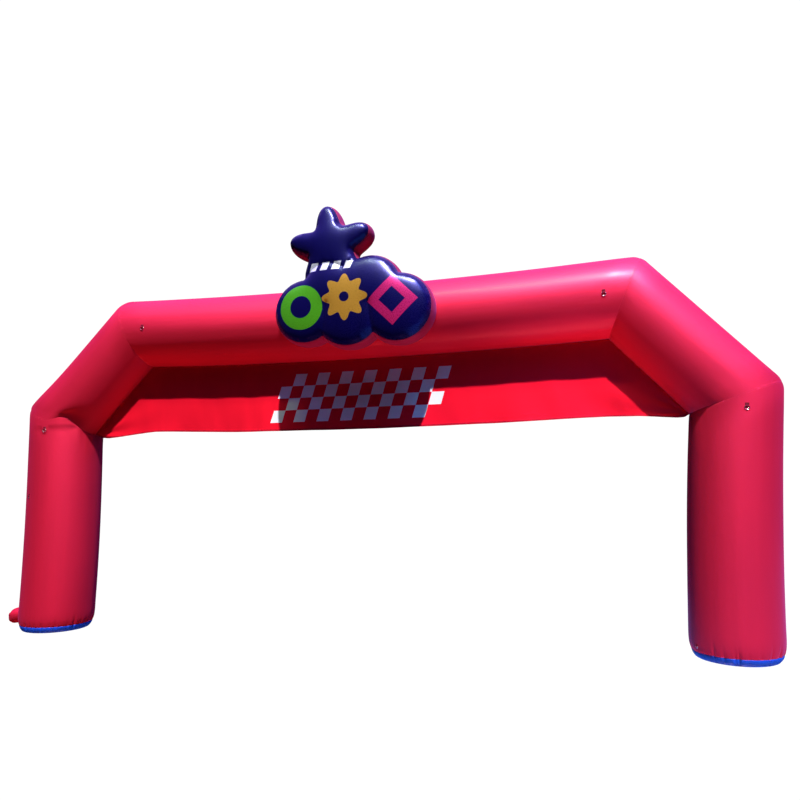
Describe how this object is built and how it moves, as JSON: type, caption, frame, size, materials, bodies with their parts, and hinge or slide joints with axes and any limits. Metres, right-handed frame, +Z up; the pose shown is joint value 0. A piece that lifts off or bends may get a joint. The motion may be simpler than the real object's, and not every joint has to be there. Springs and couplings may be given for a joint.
{
  "type": "inflatable arch",
  "caption": "Free-standing inflatable start arch with round air-filled legs, sloping corners, a beam, a cloth banner hung below it and a puffed star-and-cloud figure.",
  "frame": {"origin": "on the ground, under the middle of the bounding box; the arch's own middle is 0.155 m to +X and 0.2 m to +Y of it, because the air sleeve and the figure stand out", "axes": "+X along the beam, from the leg with the air sleeve towards the other; +Z up; the figure faces -Y"},
  "size_m": [10.5895, 1.422, 5.641],
  "materials": {
    "tube": "satin coated nylon, crimson",
    "floor": "heavier coated cloth, blue",
    "banner": "thin coated cloth, red, with a slanted chequered band",
    "topper_front": "satin printed cloth, dark blue",
    "topper_back": "satin cloth, pink",
    "tab": "woven webbing, dark red",
    "ring": "bright nickel-plated wire"
  },
  "bodies": {
    "root": {"air_sleeve": "tube", "banner": "banner", "beam": "tube", "left_base": "floor", "left_diagonal": "tube", "left_leg": "tube", "right_base": "floor", "right_diagonal": "tube", "right_leg": "tube", "ring_beam_left": "ring", "ring_beam_right": "ring", "ring_leg_left_side": "ring", "ring_leg_left_top": "ring", "ring_leg_right_foot": "ring", "ring_leg_right_top": "ring", "tab_beam_left": "tab", "tab_beam_right": "tab", "tab_leg_left_side": "tab", "tab_leg_left_top": "tab", "tab_leg_right_foot": "tab", "tab_leg_right_top": "tab", "topper_back": "topper_back", "topper_front": "topper_front"}
  },
  "joints": []
}
